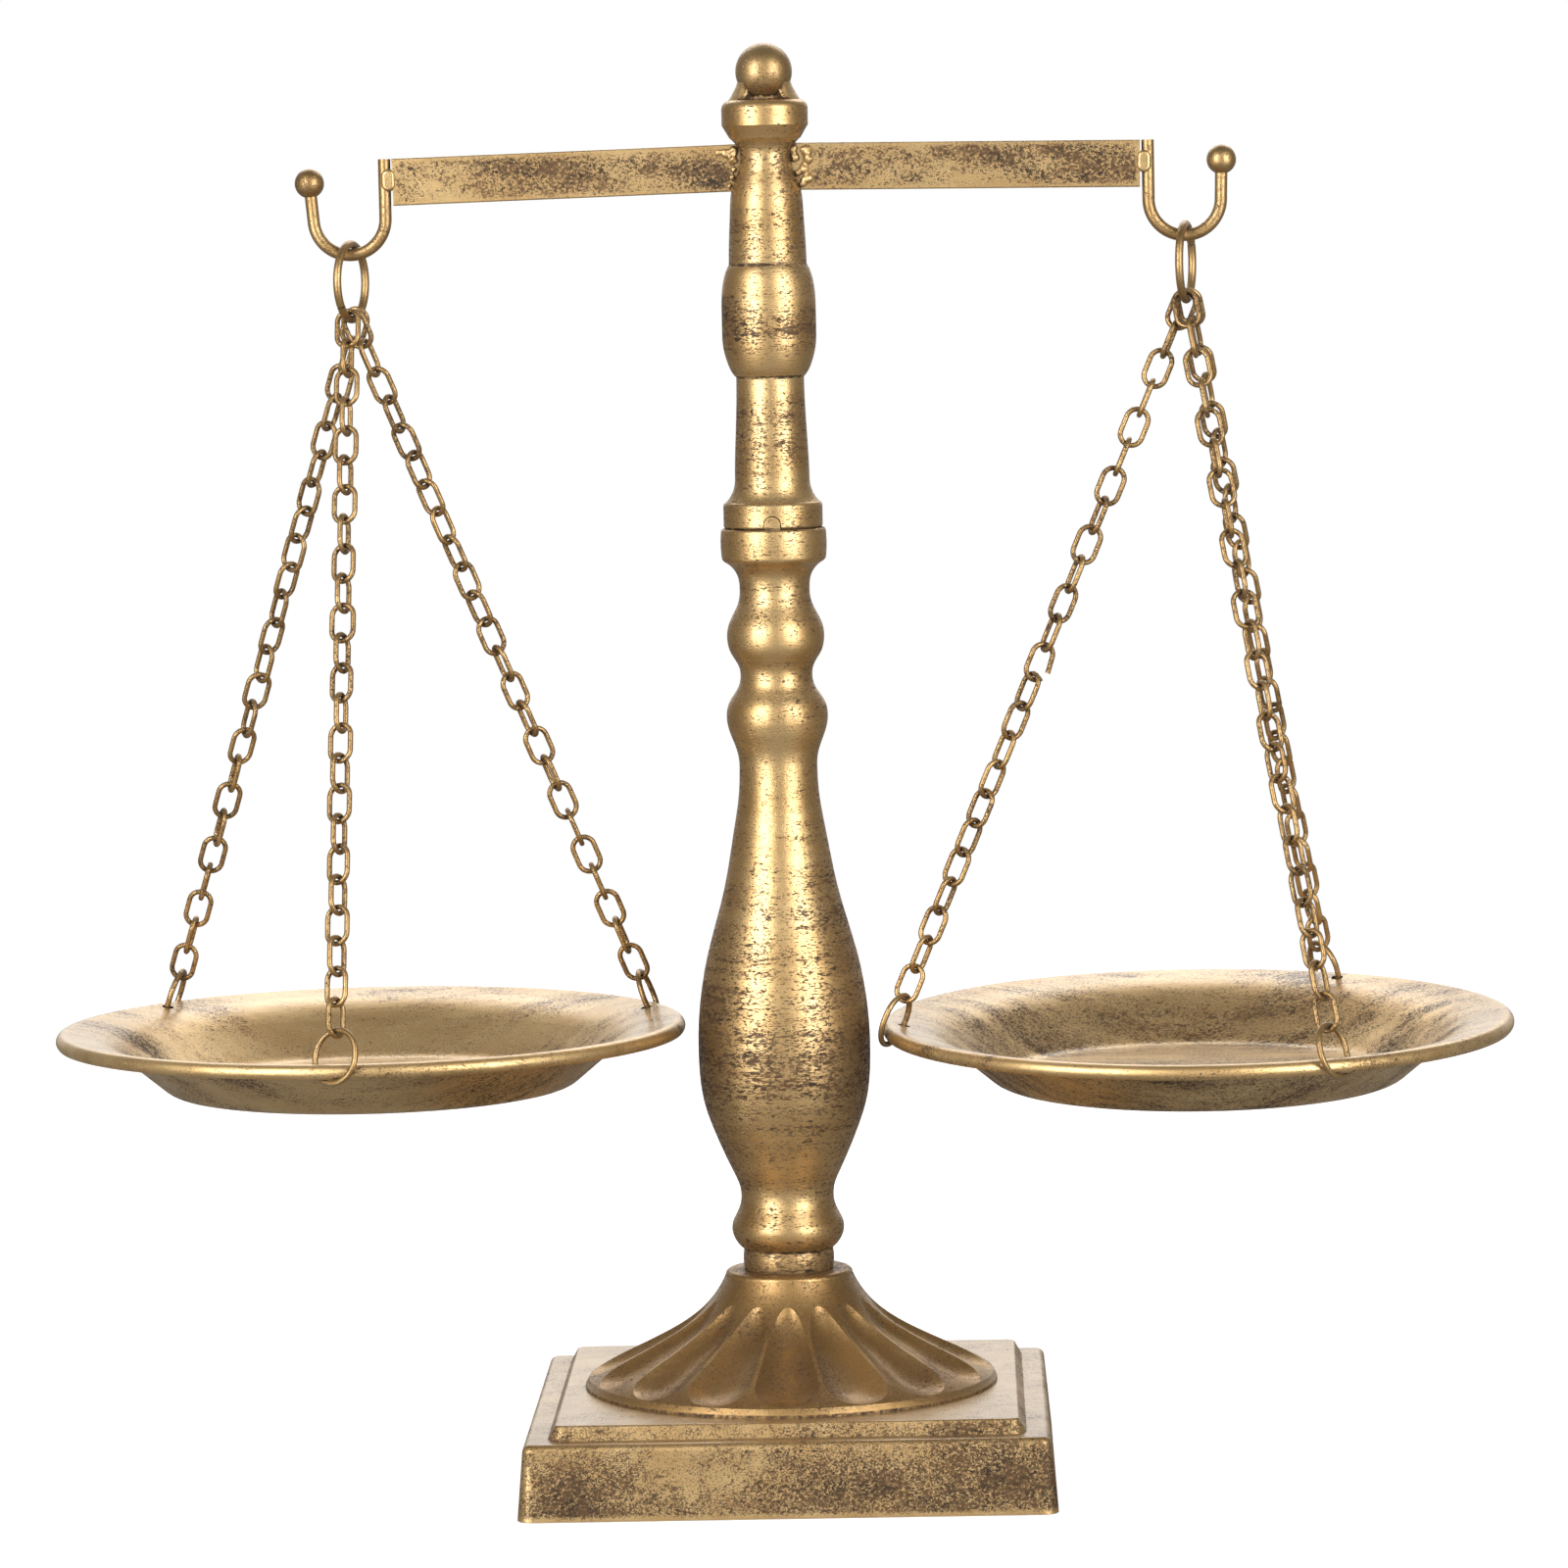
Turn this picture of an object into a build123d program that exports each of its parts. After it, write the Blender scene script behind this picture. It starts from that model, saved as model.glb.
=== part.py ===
from build123d import *
from math import atan2, cos, degrees, pi, radians, sin, sqrt
import os

os.makedirs("parts", exist_ok=True)

# Equal arm balance scale: a turned pillar on a fluted foot and a stepped square plinth.
# Two flat bars are welded to the pillar's neck, and each ends in a round-wire hook.
# A split ring hangs on each hook and carries three link chains and a shallow round pan.
#
# Frame: X runs along the arms, the front is -Y, Z is up.
# The origin is on the pillar's axis, on the surface that the plinth stands on.
# Bearings round a pan are in degrees from the front, positive towards +X.

# ---------------------------------------------------------------- driving dimensions (mm)

# plinth
PLINTH_BOTTOM = 137.0        # side of the lower tier where it meets the table
PLINTH_STEP = 133.5          # side of the lower tier at its top
PLINTH_STEP_Z = 19.3         # height of the lower tier
PLINTH_TOP_FOOT = 121.6      # side of the upper tier at its foot
PLINTH_TOP = 117.6           # side of the upper tier at its top
PLINTH_TOP_Z = 22.9          # top of the plinth
PLINTH_WALL = 2.4            # wall of the hollow plinth
PLINTH_CORNER = 4.0          # radius of the upright corners
PLINTH_STEP_ROUND = 2.0      # rounding of the lower tier's top edge
PLINTH_TOP_ROUND = 0.8
COVER_THICK = 1.8            # board that closes the plinth from below
COVER_GAP = 0.3              # gap round the board

# fluted foot
FOOT_TOP_Z = 53.0
FOOT_R = 53.8
FLUTES = 16

# pillar
JOINT_Z = 246.6              # split line between the two halves of the pillar
COLLAR_TOP_Z = 356.8         # flat top of the pillar
ROD_R = 3.0                  # threaded rod down the middle
ROD_BORE_R = 3.4
ROD_TOP_Z = 272.0
KEY_WIDTH = 4.2              # locating key on the split line
KEY_RISE = 3.4
KEY_CLEAR = 0.25
KEY_INNER_R = 9.4
KEY_OUTER_R = 12.85
WASHER_R = 9.0               # under the plinth's top plate
WASHER_THICK = 1.6
NUT_ACROSS_FLATS = 10.0
NUT_THICK = 5.0
ROD_PAST_NUT = 3.0

# ball on top of the pillar
BALL_R = 7.3
BALL_Z = COLLAR_TOP_Z + BALL_R
TACK_ARC = 84.0              # how far round the ball each tack weld reaches, degrees

# arms and hooks
ARM_Z = 339.7                # middle of both bars at the pillar
ARM_HEIGHT = 12.1
ARM_THICK = 3.2
ARM_END_X = 96.3
HOOK_WIRE = 3.2
HOOK_BEND = 9.3              # bend radius of the hook's centre line
HOOK_X = 107.7               # bottom of the hook's bend, from the pillar's axis
HOOK_BALL_R = 3.8
HOOK_WELD_HEIGHT = 5.7
HOOK_WELD_WIDTH = 3.6
HOOK_WELD_PROUD = 0.6        # how far the hook's weld stands off the bar's faces
HOOK_WELD_RISE = 0.55        # middle of the hook's weld above the bar's middle
BALL_RISE = {"left": 18.6, "right": 19.2}

# hanger rings
RING_WIRE = 2.1
RING_R = 9.7                 # centre line radius
RING_SLACK = 0.15            # daylight between the ring and the hook it hangs on
RING_GAP = 3.5               # gap where the ring's ends butt, degrees

# chains
LINKS = 24
LINK_WIRE = 1.35
LINK_INNER = 8.3             # inside length of a link
LINK_WIDTH = 7.1             # outside width of a link
TOP_LINK_SLACK = 0.2         # daylight between a first link and its hanger ring
JOINT_SLACK = 0.25           # daylight between each first link and the link below it
TWIST_WOBBLE = 8.0           # how unevenly the links lie, degrees
SPRUNG_LIFT = 0.45           # how far the open link's straight end is bent outwards
SPRUNG_END = -50.0           # where its curved end stops, degrees round the bend

# pans and the rings through their rims
PAN_R = 82.0
PAN_SHEET = 1.0
LIP_R = 1.6                  # centre line radius of the rolled rim
FLANGE_SLOPE = 12.0          # degrees
WALL_TOP_R = 68.0            # where the flange's and the wall's slopes would meet
FLOOR_R = 52.0
PAN_DEPTH = 14.3             # from the rolled rim's centre to the middle of the floor's sheet
WALL_TOP_BEND = 24.0         # radius of the easy curve between flange and wall
FLOOR_BEND = 7.0
RIM_RING_WIRE = 1.5
RIM_RING_WIDTH = 14.2
RIM_RING_HEIGHT = 15.2
RIM_RING_LIFT = 3.8          # centre of a rim ring above the rolled rim's centre
RIM_RING_AT = 79.2           # its distance from the pan's axis
RIM_RING_TURN = 58.0         # its twist away from the pan's radius, degrees
RIM_HOLE_R = 1.6
HOLE_OFFSET = 5.0            # hole's distance round the rim from its ring's bearing
HOLE_AT = 76.8               # hole's distance from the pan's axis
RIM_RING_SLACK = 0.05        # daylight between a last link and its rim ring

# (name, side, hook bend height, arm droop, hook lean, hanger ring twist, where its ends butt,
#  drop from the hook's bend to the pan's rim, pan tip towards the front, chains)
# A chain is its name, its bearing round the pan, which way its rim ring is twisted, and
# how far behind the hanger ring's lowest point its first link hangs.
SIDES = [
    ("left", -1, 319.2, 1.2, 5.0, 17.0, -140.0, 202.1, 0.0,
     [("front", -1.8, 1, -3.0), ("right", 116.3, 1, 0.5), ("back", -133.7, -1, 3.7)]),
    ("right", 1, 319.9, 0.7, 1.5, 12.0, 30.0, 204.5, 1.7,
     [("front", 23.2, -1, -3.0), ("left", -83.1, 1, -0.8), ("back", 152.3, 1, 3.3)]),
]
OPEN_LINK = ("right", "left", 12)    # the one link whose ends have sprung apart


def save(piece, label):
    """Name a finished piece and write its own STEP file."""
    piece.part.label = label
    export_step(piece.part, f"parts/{label}.step")


def oval_link(length, width, wire, label):
    """Closed link of round wire, flat in XY, its long way along X."""
    bend = (width - wire) / 2
    straight = (length - width) / 2
    with BuildPart() as link:
        with BuildLine() as loop:
            Line((-straight, -bend), (straight, -bend))
            ThreePointArc((straight, -bend), (straight + bend, 0), (straight, bend))
            Line((straight, bend), (-straight, bend))
            ThreePointArc((-straight, bend), (-straight - bend, 0), (-straight, -bend))
        with BuildSketch(Plane(origin=(-straight, -bend, 0), z_dir=(1, 0, 0))):
            Circle(wire / 2)
        sweep(path=loop.wires()[0])
    link.part.label = label
    return link


def sprung_link(length, width, wire):
    """The same link with its wire's ends apart at one corner."""
    bend = (width - wire) / 2
    straight = (length - width) / 2
    start = (straight, -bend - SPRUNG_LIFT)
    last = radians(SPRUNG_END)
    halfway = (last + pi / 2) / 2
    with BuildPart() as link:
        with BuildLine() as loop:
            Line(start, (-straight, -bend))
            ThreePointArc((-straight, -bend), (-straight - bend, 0), (-straight, bend))
            Line((-straight, bend), (straight, bend))
            ThreePointArc(
                (straight, bend), (straight + bend * cos(halfway), bend * sin(halfway)),
                (straight + bend * cos(last), bend * sin(last)),
            )
        run = Vector(-2 * straight, SPRUNG_LIFT, 0)
        with BuildSketch(Plane(origin=(start[0], start[1], 0), z_dir=run)):
            Circle(wire / 2)
        sweep(path=loop.wires()[0], transition=Transition.ROUND)
    return link


# ---------------------------------------------------------------- plinth

tier_draft = degrees(atan2((PLINTH_BOTTOM - PLINTH_STEP) / 2, PLINTH_STEP_Z))
upper_rise = PLINTH_TOP_Z - PLINTH_STEP_Z
upper_draft = degrees(atan2((PLINTH_TOP_FOOT - PLINTH_TOP) / 2, upper_rise))
plinth_mouth = PLINTH_BOTTOM - 2 * PLINTH_WALL
pocket_side = PLINTH_TOP - 2 * PLINTH_WALL
pocket_top_z = PLINTH_TOP_Z - PLINTH_WALL

with BuildPart() as base_plinth:
    with BuildSketch(Plane.XY):
        RectangleRounded(PLINTH_BOTTOM, PLINTH_BOTTOM, PLINTH_CORNER)
    extrude(amount=PLINTH_STEP_Z, taper=tier_draft)
    fillet(base_plinth.faces().sort_by(Axis.Z)[-1].edges(), radius=PLINTH_STEP_ROUND)
    with BuildSketch(Plane.XY.offset(PLINTH_STEP_Z)):
        RectangleRounded(PLINTH_TOP_FOOT, PLINTH_TOP_FOOT, PLINTH_CORNER)
    extrude(amount=upper_rise, taper=upper_draft)
    fillet(base_plinth.faces().sort_by(Axis.Z)[-1].edges(), radius=PLINTH_TOP_ROUND)
    with BuildSketch(Plane.XY):
        RectangleRounded(plinth_mouth, plinth_mouth, PLINTH_CORNER)
    extrude(amount=PLINTH_STEP_Z - PLINTH_WALL, taper=tier_draft, mode=Mode.SUBTRACT)
    with BuildSketch(Plane.XY.offset(PLINTH_STEP_Z - PLINTH_WALL)):
        RectangleRounded(pocket_side, pocket_side, PLINTH_CORNER)
    extrude(amount=pocket_top_z - PLINTH_STEP_Z + PLINTH_WALL, mode=Mode.SUBTRACT)
    with BuildSketch(Plane.XY):
        Circle(ROD_BORE_R)
    extrude(amount=PLINTH_TOP_Z, mode=Mode.SUBTRACT)
save(base_plinth, "base_plinth")

# The board sits just inside the mouth, flush with the plinth's lower edge.
cover_side = plinth_mouth - 2 * COVER_GAP
with BuildPart() as base_cover:
    with BuildSketch(Plane.XY):
        RectangleRounded(cover_side, cover_side, PLINTH_CORNER - COVER_GAP)
    extrude(amount=COVER_THICK)
save(base_cover, "base_cover")

# ---------------------------------------------------------------- tie rod, washer and nut

nut_top_z = pocket_top_z - WASHER_THICK
nut_low_z = nut_top_z - NUT_THICK
rod_low_z = nut_low_z - ROD_PAST_NUT

with BuildPart() as tie_rod:
    with BuildSketch(Plane.XY.offset(rod_low_z)):
        Circle(ROD_R)
    extrude(amount=ROD_TOP_Z - rod_low_z)
save(tie_rod, "tie_rod")

with BuildPart() as tie_rod_washer:
    with BuildSketch(Plane.XY.offset(nut_top_z)):
        Circle(WASHER_R)
        Circle(ROD_BORE_R, mode=Mode.SUBTRACT)
    extrude(amount=WASHER_THICK)
save(tie_rod_washer, "tie_rod_washer")

with BuildPart() as tie_rod_nut:
    with BuildSketch(Plane.XY.offset(nut_low_z)):
        RegularPolygon(radius=NUT_ACROSS_FLATS / 2, side_count=6, major_radius=False)
        Circle(ROD_R, mode=Mode.SUBTRACT)
    extrude(amount=NUT_THICK)
save(tie_rod_nut, "tie_rod_nut")

# ---------------------------------------------------------------- fluted foot

# Stations down one flute: radius and height on the trumpet, depth of the flute there
# (negative where the cutter has lifted clear of it), and the flute's radius across.
FLUTE_STATIONS = [
    (18.6, 48.9, -0.6, 5.0),
    (20.6, 45.8, 0.5, 5.6),
    (24.4, 41.6, 1.5, 7.2),
    (31.0, 36.9, 2.2, 9.4),
    (39.0, 32.7, 2.7, 12.0),
    (46.0, 29.3, 2.9, 14.5),
    (50.5, 26.8, 1.6, 15.0),
    (54.0, 24.6, -1.2, 15.0),
]

with BuildPart() as flute_cutter:
    for number, (radius, height, depth, across) in enumerate(FLUTE_STATIONS):
        before = FLUTE_STATIONS[max(number - 1, 0)]
        after = FLUTE_STATIONS[min(number + 1, len(FLUTE_STATIONS) - 1)]
        run = Vector(after[0] - before[0], 0, after[1] - before[1]).normalized()
        outward = Vector(-run.Z, 0, run.X)
        centre = Vector(radius, 0, height) + outward * (across - depth)
        with BuildSketch(Plane(origin=centre, x_dir=(0, 1, 0), z_dir=run)):
            Circle(across)
    loft()

with BuildPart() as fluted_foot:
    with BuildSketch(Plane.XZ):
        with BuildLine():
            Polyline(
                (ROD_BORE_R, PLINTH_TOP_Z), (FOOT_R, PLINTH_TOP_Z),
                (FOOT_R, PLINTH_TOP_Z + 0.7), (FOOT_R - 0.9, PLINTH_TOP_Z + 2.3),
            )
            Spline(
                (FOOT_R - 0.9, PLINTH_TOP_Z + 2.3), (42.1, 31.2), (30.6, 37.1),
                (23.2, 42.4), (17.9, 49.0), (16.6, 51.6),
            )
            ThreePointArc((16.6, 51.6), (16.2, 52.6), (15.3, FOOT_TOP_Z))
            Polyline((15.3, FOOT_TOP_Z), (ROD_BORE_R, FOOT_TOP_Z), (ROD_BORE_R, PLINTH_TOP_Z))
        make_face()
    revolve(axis=Axis.Z)
    # a flute faces the front
    with PolarLocations(0, FLUTES, start_angle=-90):
        add(flute_cutter.part, mode=Mode.SUBTRACT)
save(fluted_foot, "fluted_foot")

# ---------------------------------------------------------------- pillar

UP = (0, 1)


def key_blank(width, rise, outer_r):
    """Round-topped block that stands across the split line at the front of the collar."""
    with BuildPart() as blank:
        with BuildSketch(Plane.XZ.offset(KEY_INNER_R)):
            with Locations((0, JOINT_Z + (rise - width / 2) / 2 - 0.25)):
                Rectangle(width, rise - width / 2 + 0.5)
            with Locations((0, JOINT_Z + rise - width / 2)):
                Circle(width / 2)
        extrude(amount=outer_r)
        with BuildSketch(Plane.XY.offset(JOINT_Z - 5)):
            Circle(outer_r)
        extrude(amount=20, mode=Mode.INTERSECT)
    return blank


key = key_blank(KEY_WIDTH, KEY_RISE, KEY_OUTER_R)
key_notch = key_blank(KEY_WIDTH + 2 * KEY_CLEAR, KEY_RISE + KEY_CLEAR, KEY_OUTER_R + 1)

# Outlines are (radius, height) pairs, joined by curves that stand upright where the
# pillar is widest or narrowest.
with BuildPart() as lower_column:
    with BuildSketch(Plane.XZ):
        with BuildLine():
            Polyline((0, JOINT_Z), (0, FOOT_TOP_Z), (11.5, FOOT_TOP_Z))
            ThreePointArc((11.5, FOOT_TOP_Z), (11.85, 55.7), (11.6, 58.4))
            Spline((11.6, 58.4), (13.8, 60.9), (14.62, 63.9), tangents=[(0.8, 0.6), UP])
            Spline((14.62, 63.9), (13.6, 67.2), (12.05, 72.4), tangents=[UP, UP])
            Spline((12.05, 72.4), (13.8, 78.4), (19.2, 90.9), (22.4, 111.5), tangents=[UP, UP])
            Spline(
                (22.4, 111.5), (19.3, 136.3), (14.8, 152.8), (11.74, 169.2), (10.1, 185.0),
                tangents=[UP, UP],
            )
            Spline((10.1, 185.0), (12.3, 193.4), (13.13, 197.9), tangents=[UP, UP])
            Spline((13.13, 197.9), (12.1, 202.0), (9.3, 208.5), tangents=[UP, UP])
            Spline((9.3, 208.5), (11.6, 214.1), (12.6, 218.6), tangents=[UP, UP])
            Spline((12.6, 218.6), (11.6, 223.0), (9.05, 230.4), tangents=[UP, UP])
            Spline((9.05, 230.4), (9.75, 234.8), (12.4, 237.7), tangents=[UP, (0.85, 0.53)])
            ThreePointArc((12.4, 237.7), (13.2, 238.3), (13.55, 239.2))
            ThreePointArc((13.55, 239.2), (13.75, 242.5), (13.6, 245.8))
            ThreePointArc((13.6, 245.8), (13.35, 246.35), (12.8, JOINT_Z))
            Line((12.8, JOINT_Z), (0, JOINT_Z))
        make_face()
    revolve(axis=Axis.Z)
    with BuildSketch(Plane.XY.offset(FOOT_TOP_Z)):
        Circle(ROD_BORE_R)
    extrude(amount=JOINT_Z - FOOT_TOP_Z, mode=Mode.SUBTRACT)
    add(key.part)
save(lower_column, "lower_column")

with BuildPart() as upper_column:
    with BuildSketch(Plane.XZ):
        with BuildLine():
            Polyline((0, COLLAR_TOP_Z), (0, JOINT_Z), (12.2, JOINT_Z))
            ThreePointArc((12.2, JOINT_Z), (12.65, 246.9), (12.83, 247.4))
            Line((12.83, 247.4), (12.83, 252.2))
            ThreePointArc((12.83, 252.2), (12.65, 252.9), (12.1, 253.4))
            Spline((12.1, 253.4), (10.7, 255.2), (9.65, 259.5), tangents=[(-0.75, 0.66), UP])
            Spline((9.65, 259.5), (9.3, 269.5), (8.75, 285.6), tangents=[UP, UP])
            Spline((8.75, 285.6), (10.9, 289.3), (12.17, 296.5), tangents=[(0.75, 0.66), UP])
            Line((12.17, 296.5), (12.17, 302.5))
            Spline((12.17, 302.5), (11.75, 309.6), (10.05, 314.6), tangents=[UP, (-0.55, 0.83)])
            Spline((10.05, 314.6), (9.5, 328.0), (8.86, 334.1), (6.65, 342.6), tangents=[UP, UP])
            Spline((6.65, 342.6), (7.35, 345.1), (9.2, 347.1), tangents=[UP, (0.8, 0.6)])
            Polyline((9.2, 347.1), (11.13, 350.4), (11.13, 354.2))
            ThreePointArc((11.13, 354.2), (10.65, 355.95), (9.3, COLLAR_TOP_Z))
            Line((9.3, COLLAR_TOP_Z), (0, COLLAR_TOP_Z))
        make_face()
    revolve(axis=Axis.Z)
    with BuildSketch(Plane.XY.offset(JOINT_Z)):
        Circle(ROD_R)
    extrude(amount=ROD_TOP_Z - JOINT_Z, mode=Mode.SUBTRACT)
    add(key_notch.part, mode=Mode.SUBTRACT)
save(upper_column, "upper_column")

# ---------------------------------------------------------------- ball on top, with its tack welds

with BuildPart() as top_ball:
    with Locations((0, 0, BALL_Z)):
        Sphere(BALL_R)
save(top_ball, "top_ball")

with BuildPart() as tack:
    with BuildSketch(Plane.XZ):
        with BuildLine():
            Polyline(
                (3.0, COLLAR_TOP_Z), (9.2, COLLAR_TOP_Z), (8.2, COLLAR_TOP_Z + 1.7),
                (7.2, COLLAR_TOP_Z + 3.6), (6.9, COLLAR_TOP_Z + 4.6), (3.0, COLLAR_TOP_Z),
            )
        make_face()
    revolve(axis=Axis.Z, revolution_arc=TACK_ARC)

with BuildPart() as top_ball_weld:
    add(tack.part, rotation=(0, 0, -TACK_ARC / 2))
    add(tack.part, rotation=(0, 0, 180 - TACK_ARC / 2))
    add(top_ball.part, mode=Mode.SUBTRACT)
save(top_ball_weld, "top_ball_weld")

# ---------------------------------------------------------------- arms and hooks

# Lumps of the weld between a bar and the neck: height from the bar's middle,
# distance from the pillar's axis, and radius.
WELD_LUMPS = [(-4.6, 8.5, 1.5), (-2.3, 7.9, 1.7), (0.1, 7.3, 1.6), (2.5, 6.9, 1.8), (4.7, 7.7, 1.5)]

# Space that the neck takes out of the welds: cones that lie just outside its outline.
with BuildPart() as neck_space:
    with BuildSketch(Plane.XZ):
        with BuildLine():
            Polyline(
                (0, 330.0), (9.5, 330.0), (8.98, 334.1), (7.95, 337.6), (6.85, 341.0),
                (6.75, 343.4), (7.5, 345.2), (9.35, 347.2), (11.3, 350.4), (0, 350.4), (0, 330.0),
            )
        make_face()
    revolve(axis=Axis.Z)


def make_arm(name, side, droop, lean, hook_z):
    """One bar with its hook, ball and welds."""
    slope = radians(droop)
    bar_plane = Plane(
        origin=(0, 0, ARM_Z), x_dir=(side * cos(slope), 0, -sin(slope)), z_dir=(0, -side, 0)
    )
    with BuildPart() as bar:
        with BuildSketch(bar_plane):
            with Locations((ARM_END_X / 2 + 1, 0)):
                Rectangle(ARM_END_X - 2, ARM_HEIGHT)
        extrude(amount=ARM_THICK / 2, both=True)
        fillet(bar.edges().filter_by(Axis(bar_plane.origin, bar_plane.x_dir)), radius=0.4)
        add(upper_column.part, mode=Mode.SUBTRACT)
    save(bar, f"{name}_arm")

    # the hook's wire: down the bar's end, round the bend and up to the ball
    bend_z = hook_z + HOOK_BEND
    leg_x = HOOK_X - HOOK_BEND
    leg_top_z = ARM_Z - leg_x * sin(slope) + ARM_HEIGHT / 2
    tilt = radians(lean)
    bend_end = (HOOK_X + HOOK_BEND * cos(tilt), bend_z - HOOK_BEND * sin(tilt))
    ball_z = hook_z + BALL_RISE[name]
    rise = ball_z - bend_end[1]
    ball_x = bend_end[0] + rise * sin(tilt) / cos(tilt)

    with BuildPart() as ball:
        with Locations((side * ball_x, 0, ball_z)):
            Sphere(HOOK_BALL_R)
    save(ball, f"{name}_hook_ball")

    with BuildPart() as hook:
        with BuildLine(Plane.XZ) as wire:
            Line((side * leg_x, leg_top_z), (side * leg_x, bend_z))
            ThreePointArc(
                (side * leg_x, bend_z), (side * HOOK_X, hook_z), (side * bend_end[0], bend_end[1])
            )
            Line((side * bend_end[0], bend_end[1]), (side * ball_x, ball_z))
        with BuildSketch(Plane(origin=(side * leg_x, 0, leg_top_z), z_dir=(0, 0, -1))):
            Circle(HOOK_WIRE / 2)
        sweep(path=wire.wires()[0])
        add(ball.part, mode=Mode.SUBTRACT)
    save(hook, f"{name}_hook")

    weld_x = (ARM_END_X + leg_x) / 2
    with BuildPart() as hook_weld:
        with BuildSketch(bar_plane):
            with Locations((weld_x, HOOK_WELD_RISE)):
                SlotOverall(HOOK_WELD_HEIGHT, HOOK_WELD_WIDTH, rotation=90)
        extrude(amount=ARM_THICK / 2 + HOOK_WELD_PROUD, both=True)
        fillet(hook_weld.faces().filter_by(Axis.Y).edges(), radius=0.9)
        add(bar.part, mode=Mode.SUBTRACT)
        add(hook.part, mode=Mode.SUBTRACT)
    save(hook_weld, f"{name}_hook_weld")

    with BuildPart() as arm_weld:
        for face in (-1, 1):
            for height, reach, size in WELD_LUMPS:
                with Locations((side * reach, face * ARM_THICK / 2, ARM_Z + height)):
                    Sphere(size)
        add(bar.part, mode=Mode.SUBTRACT)
        add(neck_space.part, mode=Mode.SUBTRACT)
    save(arm_weld, f"{name}_arm_weld")


for name, side, hook_z, droop, lean, *hanging in SIDES:
    make_arm(name, side, droop, lean, hook_z)

# ---------------------------------------------------------------- hanger rings, chains and pans

chain_link = oval_link(LINK_INNER + 2 * LINK_WIRE, LINK_WIDTH, LINK_WIRE, "chain_link")
rim_ring = oval_link(RIM_RING_HEIGHT, RIM_RING_WIDTH, RIM_RING_WIRE, "rim_ring")
open_link = sprung_link(LINK_INNER + 2 * LINK_WIRE, LINK_WIDTH, LINK_WIRE)


def chain_places(top, bottom, first_normal, last_turn):
    """Planes of the links that run from a hanger ring's wire to a rim ring's centre."""
    run = (bottom - top).normalized()
    around = Vector(-run.Y, run.X, 0).normalized()
    outward = run.cross(around)
    first = degrees(atan2(first_normal.dot(around), first_normal.dot(outward)))
    slack_turn = (last_turn - first - 90 * (LINKS - 1) + 90) % 180 - 90
    start = -(RING_WIRE / 2 + TOP_LINK_SLACK)
    second = start + LINK_INNER - JOINT_SLACK
    end = (bottom - top).length - (RIM_RING_HEIGHT / 2 - RIM_RING_WIRE) + RIM_RING_SLACK
    pitch = (end - LINK_INNER - second) / (LINKS - 2)
    places = []
    for number in range(LINKS):
        if number == 0:
            along = start
        else:
            along = second + (number - 1) * pitch
        share = number / (LINKS - 1)
        wobble = TWIST_WOBBLE * sin(1.9 * number + last_turn) * sin(pi * share)
        turn = radians(first + 90 * number + slack_turn * share + wobble)
        normal = outward * cos(turn) + around * sin(turn)
        middle = top + run * (along + LINK_INNER / 2)
        places.append(Plane(origin=middle, x_dir=run, z_dir=normal))
    return places


def outward_of(dish, bearing):
    """Direction from a pan's axis towards a bearing round its rim."""
    return dish.x_dir * sin(radians(bearing)) + dish.z_dir * cos(radians(bearing))


def make_pan(name, dish, chains):
    """Dished sheet pan with a rolled rim and three holes for its rings.

    dish is a plane at the middle of the rim: its x is the row's X, its normal faces the
    front and its y is the pan's own axis.
    """
    slope = radians(FLANGE_SLOPE)
    lip_x = PAN_R - LIP_R - PAN_SHEET / 2
    flange_end = (lip_x - LIP_R * sin(slope), LIP_R * cos(slope))
    wall_top = (WALL_TOP_R, flange_end[1] - (flange_end[0] - WALL_TOP_R) * sin(slope) / cos(slope))
    lip_end = (lip_x + LIP_R * cos(radians(50)), -LIP_R * sin(radians(50)))
    with BuildPart() as pan:
        with BuildSketch(dish):
            with BuildLine() as middle:
                FilletPolyline(
                    (0, -PAN_DEPTH), (FLOOR_R, -PAN_DEPTH), wall_top, flange_end,
                    radius=(FLOOR_BEND, WALL_TOP_BEND),
                )
                ThreePointArc(flange_end, (lip_x + LIP_R * cos(radians(30)), LIP_R * 0.5), lip_end)
            trace(middle.wires()[0], line_width=PAN_SHEET)
            with Locations((-PAN_SHEET, -PAN_DEPTH)):
                Rectangle(2 * PAN_SHEET, 4 * PAN_SHEET, mode=Mode.SUBTRACT)
        revolve(axis=Axis(dish.origin, dish.y_dir))
        for label, bearing, twist, offset in chains:
            reach = outward_of(dish, bearing - twist * degrees(HOLE_OFFSET / HOLE_AT))
            drill = reach * -sin(slope) + dish.y_dir * cos(slope)
            with Locations(Plane(origin=dish.origin + reach * HOLE_AT, z_dir=drill)):
                Cylinder(RIM_HOLE_R, 4 * PAN_SHEET, mode=Mode.SUBTRACT)
    save(pan, f"{name}_pan")


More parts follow.
